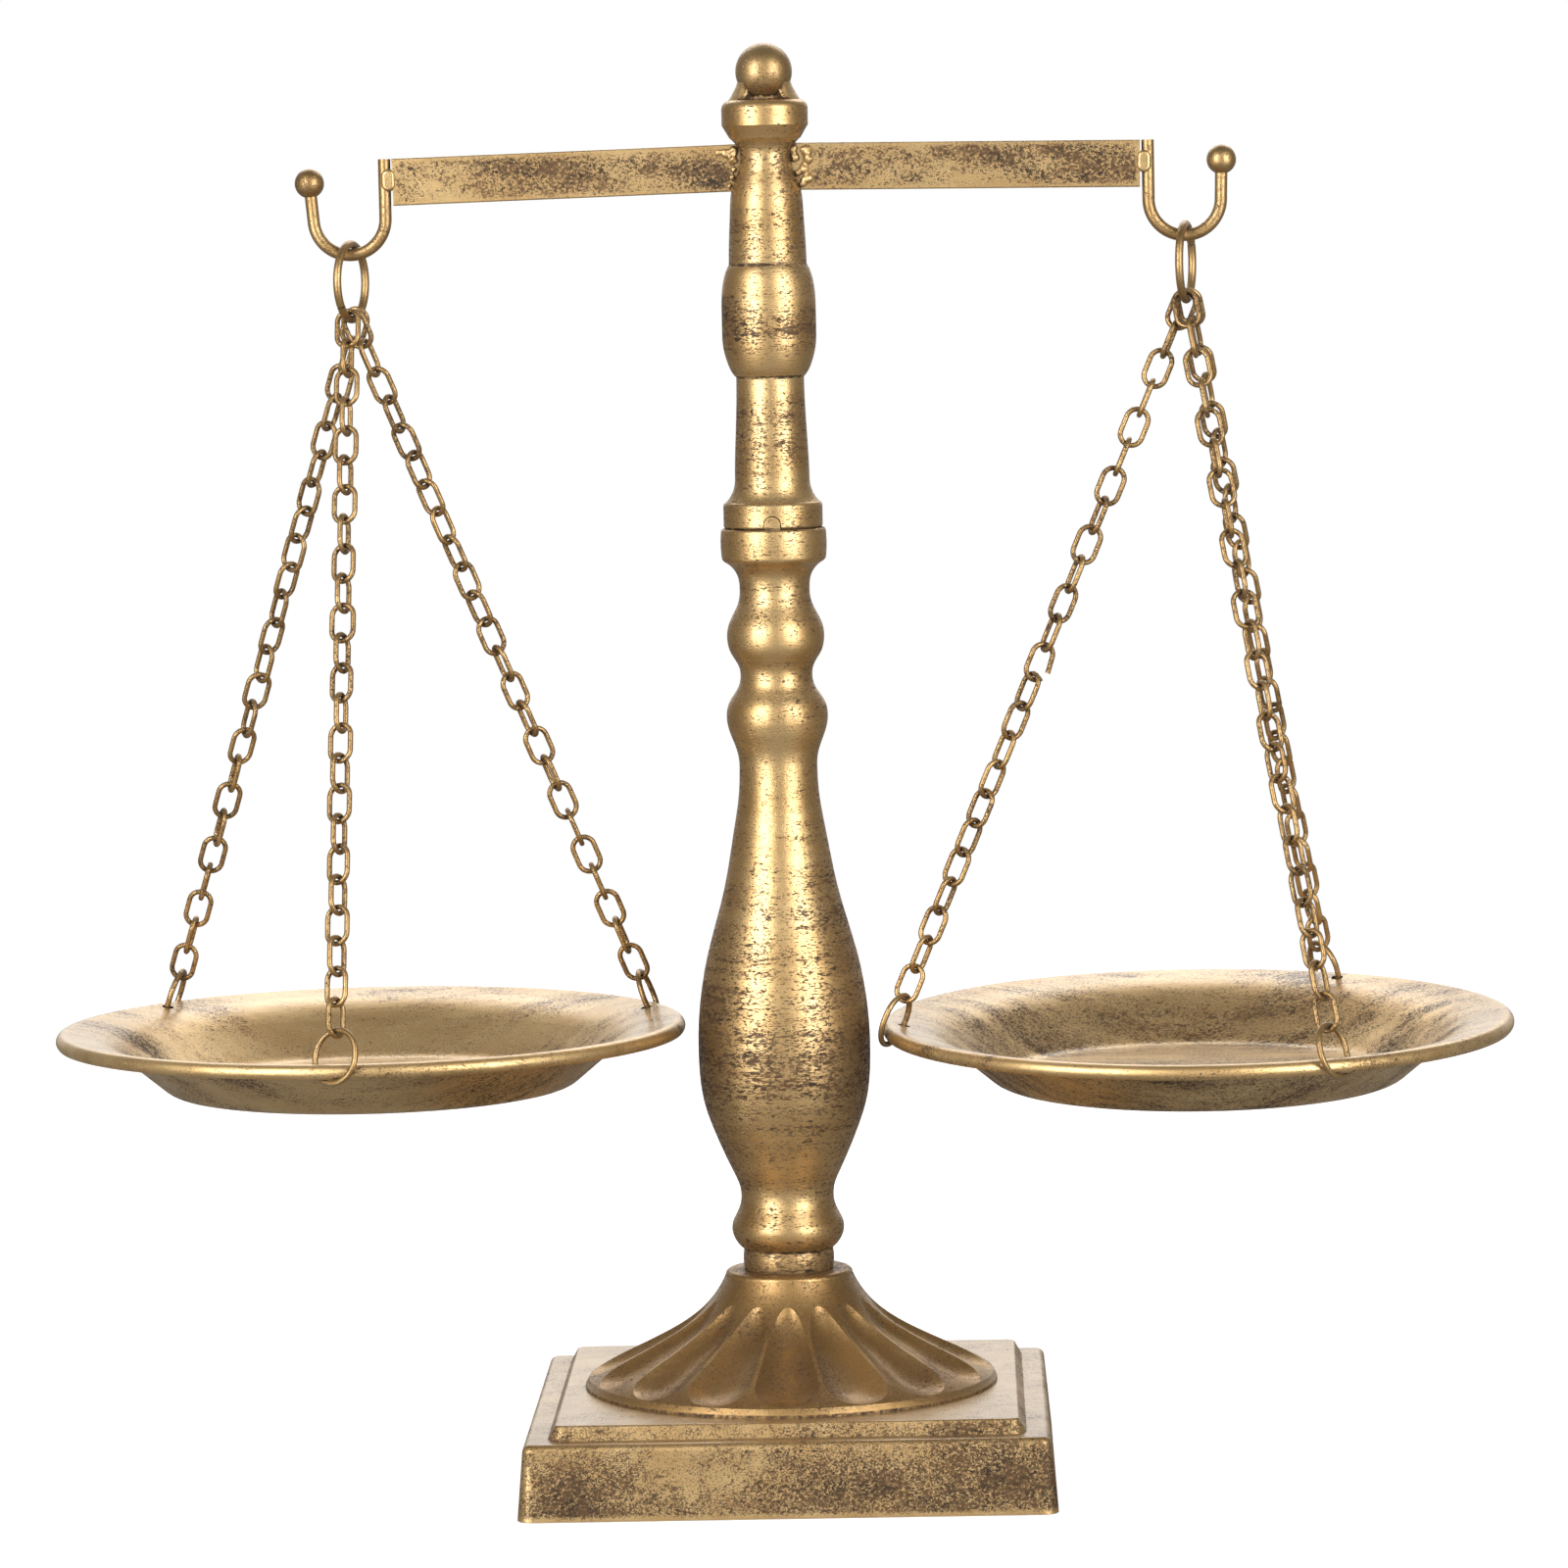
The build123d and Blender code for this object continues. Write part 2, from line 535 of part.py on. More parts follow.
for name, side, hook_z, droop, lean, ring_twist, butt, drop, tip, chains in SIDES:
    # the split ring hangs in an upright plane that runs from front to back
    back = Vector(sin(radians(ring_twist)), cos(radians(ring_twist)), 0)
    ring_z = hook_z + HOOK_WIRE / 2 + RING_SLACK - (RING_R - RING_WIRE / 2)
    ring_centre = Vector(side * HOOK_X, 0, ring_z)
    ring_axis = back.cross(Vector(0, 0, 1))
    ring_end = back * cos(radians(butt)) + Vector(0, 0, 1) * sin(radians(butt))
    with BuildPart() as hanger_ring:
        with BuildSketch(Plane(origin=ring_centre, x_dir=ring_end, z_dir=ring_end.cross(ring_axis))):
            with Locations((RING_R, 0)):
                Circle(RING_WIRE / 2)
        revolve(axis=Axis(ring_centre, ring_axis), revolution_arc=360 - RING_GAP)
    save(hanger_ring, f"{name}_hanger_ring")

    front = Vector(0, -cos(radians(tip)), -sin(radians(tip)))
    pan_centre = Vector(side * HOOK_X, 0, hook_z - drop)
    dish = Plane(origin=pan_centre, x_dir=(1, 0, 0), z_dir=front)
    make_pan(name, dish, chains)

    first_places = []
    for label, bearing, twist, offset in chains:
        below = sqrt(RING_R**2 - offset**2)
        wire_run = (back * below + Vector(0, 0, offset)).normalized()
        top = ring_centre + Vector(0, 0, -below) + back * offset
        bottom = pan_centre + outward_of(dish, bearing) * RIM_RING_AT + dish.y_dir * RIM_RING_LIFT
        places = chain_places(top, bottom, wire_run, twist * RIM_RING_TURN)
        first_places.append(places[0])
        whole = [
            place for number, place in enumerate(places)
            if number > 0 and (name, label, number) != OPEN_LINK
        ]
        with BuildPart() as chain:
            with Locations(*whole):
                add(chain_link.part)
            if (name, label) == OPEN_LINK[:2]:
                with Locations(places[OPEN_LINK[2]]):
                    add(open_link.part)
        save(chain, f"{name}_{label}_chain")

        # the rim ring hangs in line with its chain, a quarter turn from the last link
        last = places[-1]
        with BuildPart() as ring:
            with Locations(Plane(origin=bottom, x_dir=last.x_dir, z_dir=last.x_dir.cross(last.z_dir))):
                add(rim_ring.part)
        save(ring, f"{name}_{label}_rim_ring")

    with BuildPart() as top_links:
        with Locations(*first_places):
            add(chain_link.part)
    save(top_links, f"{name}_top_links")
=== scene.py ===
"""Looks of the equal arm balance scale: gold paint rubbed through to dark brown, in soft studio light."""

import math
import random

import bmesh
import bpy
from mathutils import Matrix, Vector, noise


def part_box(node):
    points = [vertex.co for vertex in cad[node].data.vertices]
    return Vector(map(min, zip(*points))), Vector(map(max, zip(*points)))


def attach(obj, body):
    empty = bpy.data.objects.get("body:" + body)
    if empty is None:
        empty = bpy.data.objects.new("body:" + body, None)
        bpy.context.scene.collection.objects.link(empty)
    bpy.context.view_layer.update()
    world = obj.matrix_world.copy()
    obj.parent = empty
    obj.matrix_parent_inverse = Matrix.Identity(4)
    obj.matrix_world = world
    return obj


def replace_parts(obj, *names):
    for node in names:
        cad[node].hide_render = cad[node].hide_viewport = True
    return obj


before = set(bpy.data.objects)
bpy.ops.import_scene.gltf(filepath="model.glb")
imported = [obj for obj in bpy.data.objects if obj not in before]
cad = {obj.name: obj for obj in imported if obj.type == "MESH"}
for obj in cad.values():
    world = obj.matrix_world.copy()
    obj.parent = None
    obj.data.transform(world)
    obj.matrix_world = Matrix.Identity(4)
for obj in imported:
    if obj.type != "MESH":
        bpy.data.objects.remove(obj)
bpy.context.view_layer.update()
scene = bpy.context.scene
SIDES = (("left", -1), ("right", 1))
CHAINS = {"left": ("front", "right", "back"), "right": ("front", "left", "back")}


# ------------------------------------------------------------------ shader helpers

class Nodes:
    """Short names for building a node tree."""

    def __init__(self, tree, output):
        self.tree = tree
        self.tree.nodes.clear()
        self.output = self.add(output)

    def add(self, kind, **settings):
        node = self.tree.nodes.new(kind)
        for key, value in settings.items():
            setattr(node, key, value)
        return node

    def feed(self, socket, value):
        if isinstance(value, bpy.types.NodeSocket):
            self.tree.links.new(value, socket)
        elif value is not None:
            socket.default_value = value

    def math(self, operation, a, b=None, c=None, clamp=False):
        node = self.add("ShaderNodeMath", operation=operation, use_clamp=clamp)
        for socket, value in zip(node.inputs, (a, b, c)):
            self.feed(socket, value)
        return node.outputs[0]

    def vector(self, operation, a, b):
        node = self.add("ShaderNodeVectorMath", operation=operation)
        self.feed(node.inputs[0], a)
        self.feed(node.inputs[1], b)
        return node.outputs[0]

    def length(self, a):
        node = self.add("ShaderNodeVectorMath", operation="LENGTH")
        self.feed(node.inputs[0], a)
        return node.outputs["Value"]

    def split(self, a):
        node = self.add("ShaderNodeSeparateXYZ")
        self.feed(node.inputs[0], a)
        return node.outputs

    def centred(self, value, weight, base, clamp=False):
        """Base plus weight times how far the value is from one half."""
        return self.math("MULTIPLY_ADD", self.math("SUBTRACT", value, 0.5), weight, base, clamp)

    def step(self, value, low, high, out_low=0.0, out_high=1.0):
        node = self.add("ShaderNodeMapRange", interpolation_type="SMOOTHSTEP")
        for socket, item in zip(node.inputs, (value, low, high, out_low, out_high)):
            self.feed(socket, item)
        return node.outputs[0]

    def mix(self, share, a, b):
        node = self.add("ShaderNodeMix", data_type="RGBA")
        self.feed(node.inputs[0], share)
        self.feed(node.inputs[6], a)
        self.feed(node.inputs[7], b)
        return node.outputs[2]

    def blend(self, share, a, b):
        node = self.add("ShaderNodeMix", data_type="FLOAT")
        self.feed(node.inputs[0], share)
        self.feed(node.inputs[2], a)
        self.feed(node.inputs[3], b)
        return node.outputs[0]

    def stretched(self, place, stretch, turn=(0, 0, 0)):
        node = self.add("ShaderNodeMapping")
        self.feed(node.inputs["Vector"], place)
        node.inputs["Rotation"].default_value = turn
        node.inputs["Scale"].default_value = stretch
        return node.outputs[0]

    def noise(self, place, pattern, finer=1.0):
        node = self.add("ShaderNodeTexNoise")
        self.feed(node.inputs["Vector"], place)
        for socket, value in zip(("Scale", "Detail", "Roughness", "Distortion"), pattern):
            node.inputs[socket].default_value = value
        node.inputs["Scale"].default_value *= finer
        return node.outputs[0]

    def bump(self, height, strength, distance):
        node = self.add("ShaderNodeBump")
        node.inputs["Strength"].default_value = strength
        node.inputs["Distance"].default_value = distance
        self.feed(node.inputs["Height"], height)
        return node.outputs[0]

    def crease(self, distance, inside=False):
        node = self.add("ShaderNodeAmbientOcclusion", samples=8, inside=inside)
        node.inputs["Distance"].default_value = distance
        return node.outputs["AO"]


class Shader(Nodes):
    """A new material and its node tree."""

    def __init__(self, name):
        self.material = bpy.data.materials.new(name)
        self.material.use_nodes = True
        super().__init__(self.material.node_tree, "ShaderNodeOutputMaterial")


def shaded(colour, share):
    """The colour made darker or lighter, still opaque."""
    return tuple(share * c for c in colour[:3]) + (1,)


# ------------------------------------------------------------------ gold paint

GOLD_LIGHT = (0.67, 0.478, 0.232, 1)
GOLD_DEEP = (0.44, 0.265, 0.098, 1)
STAINED = (0.250, 0.135, 0.050, 1)
PATINA = (0.022, 0.013, 0.007, 1)
PATINA_WARM = (0.085, 0.046, 0.019, 1)

# Patterns in the paint: scale in cycles per metre, detail, roughness and distortion.
CLOUDS = (60, 4, 0.6, 0.4)        # broad uneven places
TONES = (90, 4, 0.6, 0.0)         # light and deep gold
MOTTLE = (330, 4, 0.65, 0.2)      # patches of a few millimetres
TRACKS = (520, 3, 0.7, 0.0)       # level lines left by turning
DASHES = (1250, 4, 0.68, 0.3)     # short strokes
BRISTLES = (1500, 3, 0.6, 0.0)    # marks of the brush
GRAINS = (2300, 3, 0.7, 0.0)      # single specks

TRACK_STRETCH = (0.04, 0.04, 1.0)
TIGHT_CREASE = 0.0022             # how far round a point its grooves and edges are felt
WIDE_CREASE = 0.014
LEVEL_FACE = (0.8, 0.98)          # upward part of the normal on faces that count as level


def with_patches(s, density, place, patches):
    """More patina inside each ellipsoid: (centre, radii, weight), in metres in the row frame."""
    for centre, radii, weight in patches:
        away = s.vector("DIVIDE", s.vector("SUBTRACT", place, centre), radii)
        near = s.step(s.length(away), 1.0, 0.25)
        density = s.math("MULTIPLY_ADD", near, weight, density)
    return density


def with_ring(s, density, place, centre, radius, width, weight):
    """Another density beyond a radius from an upright axis."""
    level = s.vector("MULTIPLY", s.vector("SUBTRACT", place, centre), (1, 1, 0))
    outside = s.step(s.length(level), radius, radius + width)
    return s.math("MULTIPLY_ADD", outside, weight, density)


def with_groove_lines(s, dark, place, dashes, lines):
    """A broken dark line at each height: (height, half width)."""
    broken = s.step(dashes, 0.62, 0.45, 0.25, 1.0)
    for height, half_width in lines:
        off = s.math("ABSOLUTE", s.math("SUBTRACT", s.split(place)["Z"], height))
        mark = s.math("MULTIPLY", s.step(off, half_width, half_width * 0.3), broken)
        dark = s.math("MAXIMUM", dark, mark)
    return dark


def antique_gold(name, stretch=(1, 1, 1), turn=(0, 0, 0), speckle=0.5, patches=(), grain=1.0, rough=0.40,
                 warm=0.25, wear=0.0, stain=0.45, brush=(1.5, 1.5, 0.08), shade=1.0, rows=0.0, side_patina_and_shade=0.0,
                 uneven=1.2, grain_stretch=None, ring=None, lines=(), top_sheen=0.0, groove=(0.68, 0.34)):
    """Gold paint with dark patina left in its grain and in patches, and darker in its creases.

    stretch, grain_stretch, brush, turn: how the patterns, the specks and the brush marks run.
    speckle: how much patina is left; uneven: how much that varies from place to place.
    warm: share of the deep gold; stain: how brown the gold goes where much patina is left.
    wear: how clean the outer edges are rubbed.
    rows: how strongly the specks gather in level lines; side_patina_and_shade: how much more patina and
    painted shade lie on the sides facing along X, where the outline falls.
    top_sheen: how much paler the level faces are, with less patina as a painted sheen, and how much more
    clear coat they get; groove: how open a crease is when it darkens.
    patches, ring, lines: see with_patches, with_ring and with_groove_lines.
    """
    s = Shader(name)
    coordinates = s.add("ShaderNodeTexCoord").outputs
    place = coordinates["Object"]
    facing = s.split(coordinates["Normal"])
    brushed = s.stretched(place, stretch, turn)
    pored = s.stretched(place, grain_stretch or stretch, turn)
    mottle = s.noise(brushed, MOTTLE)
    grains = s.noise(pored, GRAINS, grain)
    dashes = s.noise(pored, DASHES, grain)
    bristles = s.noise(s.stretched(place, brush, turn), BRISTLES)
    level_face = s.step(facing["Z"], *LEVEL_FACE)
    tight = s.crease(TIGHT_CREASE)

    # How much patina is left.
    density = s.centred(s.noise(brushed, CLOUDS), uneven, speckle)
    density = s.centred(mottle, 0.8, density)
    if rows:
        density = s.centred(s.noise(s.stretched(place, TRACK_STRETCH), TRACKS), rows, density)
    # Darker at the sides facing along X, where the outline falls: partly patina, partly painted shade.
    if side_patina_and_shade:
        sideways = s.math("POWER", s.math("ABSOLUTE", facing["X"]), 2.0)
        density = s.math("MULTIPLY_ADD", sideways, side_patina_and_shade, density)
    # Paler level faces, with less patina: a painted sheen.
    if top_sheen:
        density = s.math("MULTIPLY_ADD", level_face, -top_sheen, density)
    density = with_patches(s, density, place, patches)
    if ring:
        density = with_ring(s, density, place, *ring)
    # More specks where a wide occlusion test finds hollows, so darker in recesses.
    density = s.math("MULTIPLY_ADD", s.math("SUBTRACT", 1.0, s.crease(WIDE_CREASE)), 0.4, density)
    if wear:
        edge = s.crease(TIGHT_CREASE, inside=True)
        density = s.math("MULTIPLY_ADD", s.step(edge, 0.92, 0.55), -wear, density)

    # The higher the density, the more of the specks and strokes fall below the threshold.
    fine = s.math("SUBTRACT", s.math("MULTIPLY_ADD", density, 0.26, 0.315), grains)
    broad = s.math("SUBTRACT", s.math("MULTIPLY_ADD", density, 0.30, 0.235), dashes)
    dark = s.math("MAXIMUM", s.step(fine, -0.01, 0.03, 0.0, 0.85), s.step(broad, -0.006, 0.016))
    # A dark line where a tight occlusion test finds creases.
    line = s.math("MULTIPLY", s.step(tight, *groove), s.step(mottle, 0.30, 0.5, 0.55, 1.0))
    dark = s.math("MAXIMUM", dark, line)
    dark = with_groove_lines(s, dark, place, dashes, lines)

    # Light and deep gold, stained where much patina is left.
    tone = s.step(s.noise(brushed, TONES), 0.3, 0.7)
    deepness = s.math("MULTIPLY_ADD", tone, 0.45, warm, clamp=True)
    deepness = s.centred(bristles, 0.8, deepness, clamp=True)
    # Deeper gold at those sides: partly the patina's brown, partly painted shade.
    if side_patina_and_shade:
        deepness = s.math("MULTIPLY_ADD", sideways, 0.55, deepness, clamp=True)
    gold = s.mix(deepness, shaded(GOLD_LIGHT, shade), shaded(GOLD_DEEP, shade))
    gold = s.mix(s.step(density, 0.25, 1.05, 0.0, stain), gold, STAINED)
    brown = s.mix(s.step(mottle, 0.35, 0.65), PATINA, PATINA_WARM)

    bsdf = s.add("ShaderNodeBsdfPrincipled")
    s.feed(bsdf.inputs["Base Color"], s.mix(dark, gold, brown))
    s.feed(bsdf.inputs["Metallic"], s.blend(dark, 0.92, 0.0))
    s.feed(bsdf.inputs["Specular IOR Level"], s.blend(dark, 0.5, 0.2))
    roughness = s.math("MULTIPLY_ADD", bristles, 0.18, rough - 0.09)
    s.feed(bsdf.inputs["Roughness"], s.blend(dark, roughness, 0.62))
    coat = s.blend(dark, 0.28, 0.05)
    if top_sheen:
        coat = s.math("MULTIPLY_ADD", level_face, 0.75, coat, clamp=True)
    s.feed(bsdf.inputs["Coat Weight"], coat)
    bsdf.inputs["Coat Roughness"].default_value = 0.24
    relief = s.math("MULTIPLY_ADD", dark, -0.6, grains)
    relief = s.math("MULTIPLY_ADD", mottle, 0.5, relief)
    s.feed(bsdf.inputs["Normal"], s.bump(relief, 0.35, 0.0002))
    s.feed(s.output.inputs["Surface"], bsdf.outputs[0])
    return s.material


# ------------------------------------------------------------------ hidden parts

TURNING_RINGS = (500, 3, 0.6, 0.0)
FELT_FIBRES = (2200, 5, 0.8, 1.5)


def plain_metal(name, colour, rough):
    """Turned steel: fine rings and a little unevenness."""
    s = Shader(name)
    place = s.add("ShaderNodeTexCoord").outputs["Object"]
    rings = s.noise(s.stretched(place, (0.2, 0.2, 6.0)), TURNING_RINGS)
    bsdf = s.add("ShaderNodeBsdfPrincipled")
    s.feed(bsdf.inputs["Base Color"], s.mix(rings, colour, shaded(colour, 0.7)))
    bsdf.inputs["Metallic"].default_value = 1.0
    s.feed(bsdf.inputs["Roughness"], s.math("MULTIPLY_ADD", rings, 0.2, rough))
    s.feed(s.output.inputs["Surface"], bsdf.outputs[0])
    return s.material


def felt_cloth(name, colour):
    """Short fibres pressed flat."""
    s = Shader(name)
    place = s.add("ShaderNodeTexCoord").outputs["Object"]
    fibres = s.noise(place, FELT_FIBRES)
    bsdf = s.add("ShaderNodeBsdfPrincipled")
    s.feed(bsdf.inputs["Base Color"], s.mix(fibres, colour, shaded(colour, 2.2)))
    bsdf.inputs["Roughness"].default_value = 0.95
    bsdf.inputs["Sheen Weight"].default_value = 0.4
    s.feed(bsdf.inputs["Normal"], s.bump(fibres, 0.5, 0.0004))
    s.feed(s.output.inputs["Surface"], bsdf.outputs[0])
    return s.material


# ------------------------------------------------------------------ materials

# Heights of the grooves between the turned parts, with half of each dark line's width.
GROOVES = [(0.3147, 0.0008), (0.2857, 0.0008), (0.2468, 0.0006), (0.0586, 0.0009), (0.0537, 0.0010)]
# Where the patina lies thick on the pillar: height, radius round the axis, half height and weight.
PATINA_BANDS = [
    (0.112, 0.05, 0.028, 0.40), (0.142, 0.05, 0.032, 0.16), (0.084, 0.05, 0.016, 0.10),
    (0.299, 0.03, 0.010, 0.34), (0.272, 0.03, 0.012, 0.25), (0.322, 0.03, 0.012, 0.12),
    (0.342, 0.03, 0.009, 0.18),
]
PLINTH_PATCHES = [
    ((0.045, -0.068, 0.010), (0.055, 0.03, 0.018), 0.24),
    ((-0.050, -0.068, 0.006), (0.026, 0.03, 0.012), 0.20),
]
SKIRT_SHADOW_LINE = (0.0232, 0.0008)     # painted shadow: a dark line where the foot stands on the plinth
PAN_LIP_R = 0.0775                # where a pan's rolled rim begins
PAN_LIP_WIDTH = 0.0025
PAN_LIP_WEIGHT = -0.2


def pan_gold(name, pan, speckle, turn):
    """Gold brushed on in broad strokes, with a cleaner rolled rim."""
    low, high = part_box(pan)
    axis = ((low.x + high.x) / 2, 0, 0)
    lip = (axis, PAN_LIP_R, PAN_LIP_WIDTH, PAN_LIP_WEIGHT)
    # shade=1.12 makes the pans' gold lighter than on the other parts: painted light, standing in for more
    # light on the pan walls.
    return antique_gold(name, stretch=(0.35, 1.3, 1.0), turn=(0, 0, turn), speckle=speckle, uneven=1.7,
                        brush=(0.1, 1.5, 1.0), shade=1.12, stain=0.3, grain_stretch=(0.6, 1.2, 1.0),
                        ring=lip, top_sheen=0.1)


pillar_patches = [
    ((0, 0, height), (radius, radius, half_height), weight)
    for height, radius, half_height, weight in PATINA_BANDS
]
pillar_gold = antique_gold("pillar_gold", stretch=(0.36, 0.36, 1.0), speckle=0.33, rows=0.75, side_patina_and_shade=0.19,
                           uneven=1.0, lines=GROOVES, patches=pillar_patches)
arm_gold = antique_gold("arm_gold", stretch=(0.45, 1.0, 0.9), speckle=0.60, wear=0.5, uneven=2.0,
                        brush=(0.1, 1.5, 1.5), shade=0.92, grain_stretch=(0.75, 1.0, 0.9), grain=0.95)
base_gold = antique_gold("base_gold", stretch=(0.8, 0.8, 1.0), speckle=0.64, wear=0.8, uneven=1.1,
                         stain=0.2, brush=(0.1, 1.5, 1.5), grain=1.1, top_sheen=0.25, patches=PLINTH_PATCHES)
# The foot carries the painted shadow line along its lower edge.
foot_gold = antique_gold("foot_gold", stretch=(0.8, 0.8, 0.8), speckle=0.45, wear=0.3, warm=0.75, stain=0.7,
                         shade=0.88, lines=[SKIRT_SHADOW_LINE])
wire_gold = antique_gold("wire_gold", speckle=0.32, warm=0.55, shade=0.76)
chain_gold = antique_gold("chain_gold", speckle=0.50, warm=0.65, shade=0.88)
weld_gold = antique_gold("weld_gold", speckle=0.45, warm=0.3, wear=0.3, grain=1.5, groove=(0.92, 0.58))
pan_golds = {
    "left": pan_gold("pan_gold_left", "left_pan", 0.50, 0.15),
    "right": pan_gold("pan_gold_right", "right_pan", 0.60, 0.45),
}
steel = plain_metal("steel", (0.5, 0.5, 0.52, 1), 0.3)
felt = felt_cloth("felt", (0.02, 0.018, 0.016, 1))

FINISH = {
    "base_plinth": base_gold, "base_cover": felt,
    "tie_rod": steel, "tie_rod_washer": steel, "tie_rod_nut": steel,
    "fluted_foot": foot_gold, "lower_column": pillar_gold, "upper_column": pillar_gold,
    "top_ball": wire_gold, "top_ball_weld": weld_gold,
}
for name, _ in SIDES:
    FINISH[f"{name}_arm"] = arm_gold
    FINISH[f"{name}_hook"] = wire_gold
    FINISH[f"{name}_hook_ball"] = wire_gold
    FINISH[f"{name}_arm_weld"] = weld_gold
    FINISH[f"{name}_hook_weld"] = arm_gold
    FINISH[f"{name}_hanger_ring"] = wire_gold
    FINISH[f"{name}_top_links"] = chain_gold
    FINISH[f"{name}_pan"] = pan_golds[name]
    for chain in CHAINS[name]:
        FINISH[f"{name}_{chain}_chain"] = chain_gold
        FINISH[f"{name}_{chain}_rim_ring"] = wire_gold

for node, material in FINISH.items():
    mesh = cad[node].data
    mesh.materials.clear()
    mesh.materials.append(material)

# ------------------------------------------------------------------ welds

MM = 0.001
CRUMB_REACH = 0.8                 # how far out on a blob its smaller lumps sit, in radii
CRUMB_SIZE = (0.35, 0.6)
BEAD_ROUGHNESS = 0.22 * MM
BEAD_ROUGHNESS_SCALE = 900        # cycles per metre


def weld_bead(name, seed, blobs, voxel=0.28 * MM):
    """One lumpy run of weld metal: overlapping blobs fused into one skin and roughened.

    blobs: (centre, radius, how many smaller lumps sit on it).
    """
    dice = random.Random(seed)
    lumps = bmesh.new()
    for centre, radius, crumbs in blobs:
        spots = [(Vector(centre), radius)]
        for _ in range(crumbs):
            way = Vector((dice.uniform(-1, 1), dice.uniform(-1, 1), dice.uniform(-1, 1))).normalized()
            spots.append((Vector(centre) + way * radius * CRUMB_REACH, radius * dice.uniform(*CRUMB_SIZE)))
        for spot, size in spots:
            bmesh.ops.create_icosphere(lumps, subdivisions=3, radius=size, matrix=Matrix.Translation(spot))
    rough = bpy.data.meshes.new(f"{name}_lumps")
    lumps.to_mesh(rough)
    lumps.free()
    source = bpy.data.objects.new(f"{name}_source", rough)
    scene.collection.objects.link(source)
    fuse = source.modifiers.new("fuse", "REMESH")
    fuse.mode = "VOXEL"
    fuse.voxel_size = voxel
    fuse.use_smooth_shade = True
    soften = source.modifiers.new("soften", "SMOOTH")
    soften.iterations = 2
    graph = bpy.context.evaluated_depsgraph_get()
    skin = bpy.data.meshes.new_from_object(source.evaluated_get(graph), depsgraph=graph)
    bpy.data.objects.remove(source)
    for vertex in skin.vertices:
        vertex.co += vertex.normal * BEAD_ROUGHNESS * noise.noise(vertex.co * BEAD_ROUGHNESS_SCALE)
    skin.name = name
    skin.materials.clear()
    skin.materials.append(weld_gold)
    piece = bpy.data.objects.new(name, skin)
    scene.collection.objects.link(piece)
    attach(piece, "frame")
    return piece


# The ragged edges of the two tack welds that hold the ball, and the run of metal under it:
# distance from the axis, height above the cap and radius, in millimetres.
CAP_TOP_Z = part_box("upper_column")[1].z / MM
TACK_EDGE = [(5.5, 3.1, 0.45), (5.7, 2.4, 0.6), (6.0, 1.7, 0.65), (6.4, 1.0, 0.65), (6.9, 0.5, 0.55)]
TACK_EDGE_BEARING = 40            # degrees either side of each bar
TACK_EDGE_WANDER = 4
SEAT_BLOBS = 18
SEAT_R = 4.1
SEAT_RISE = 0.3
SEAT_BLOB_R = (0.8, 1.05)


def cap_blob(side, bearing, reach, rise, radius, crumbs):
    """A blob on the cap, at a bearing in radians from the bar on one side, in millimetres."""
    centre = Vector((side * reach * math.cos(bearing), reach * math.sin(bearing), CAP_TOP_Z + rise))
    return centre * MM, radius * MM, crumbs


dice = random.Random(3)
edges = []
for _, side in SIDES:
    for bearing in (-TACK_EDGE_BEARING, TACK_EDGE_BEARING):
        for reach, rise, radius in TACK_EDGE:
            turned = math.radians(bearing + dice.uniform(-TACK_EDGE_WANDER, TACK_EDGE_WANDER))
            edges.append(cap_blob(side, turned, reach, rise, radius, 2))
for step in range(SEAT_BLOBS):
    turned = 2 * math.pi * step / SEAT_BLOBS
    edges.append(cap_blob(1, turned, SEAT_R, SEAT_RISE, dice.uniform(*SEAT_BLOB_R), 1))
weld_bead("top_ball_weld_edges", 5, edges, voxel=0.18 * MM)

# Each bar's weld: height from the bar's middle, distance from the pillar's axis and radius in
# millimetres, and how many crumbs.
BAR_MIDDLE_Z = 339.7
BAR_FACE_Y = 1.5
WELD_BLOBS = {
    "left": [(4.3, 8.1, 1.2, 3), (3.6, 10.2, 1.25, 4), (1.9, 8.4, 1.35, 4), (3.9, 12.2, 0.9, 3),
             (-0.5, 8.2, 0.9, 2), (-2.6, 8.6, 0.85, 2), (-4.6, 9.4, 0.8, 1)],
    "right": [(4.4, 7.2, 1.2, 4), (2.2, 7.6, 1.3, 3), (4.0, 10.6, 1.5, 3), (1.6, 11.0, 1.3, 2),
              (-0.8, 9.9, 1.35, 3), (-3.2, 10.9, 1.4, 3), (-4.6, 9.6, 1.0, 2), (-1.8, 8.2, 0.95, 2)],
}
for name, side in SIDES:
    blobs = []
    for face in (-1, 1):
        for height, reach, radius, crumbs in WELD_BLOBS[name]:
            centre = Vector((side * reach, face * BAR_FACE_Y, BAR_MIDDLE_Z + height)) * MM
            blobs.append((centre, radius * MM, crumbs))
    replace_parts(weld_bead(f"{name}_arm_weld_bead", 11 + side, blobs), f"{name}_arm_weld")

# ------------------------------------------------------------------ floor and light

FLOOR_R = 1.1
FLOOR_DROP = 0.0002               # keeps the floor clear of the plinth's lower edge
floor_mesh = bpy.data.meshes.new("floor")
floor = bpy.data.objects.new("floor", floor_mesh)
scene.collection.objects.link(floor)
shape = bmesh.new()
bmesh.ops.create_circle(shape, cap_ends=True, segments=96, radius=FLOOR_R)
shape.to_mesh(floor_mesh)
shape.free()
floor.location.z = -FLOOR_DROP

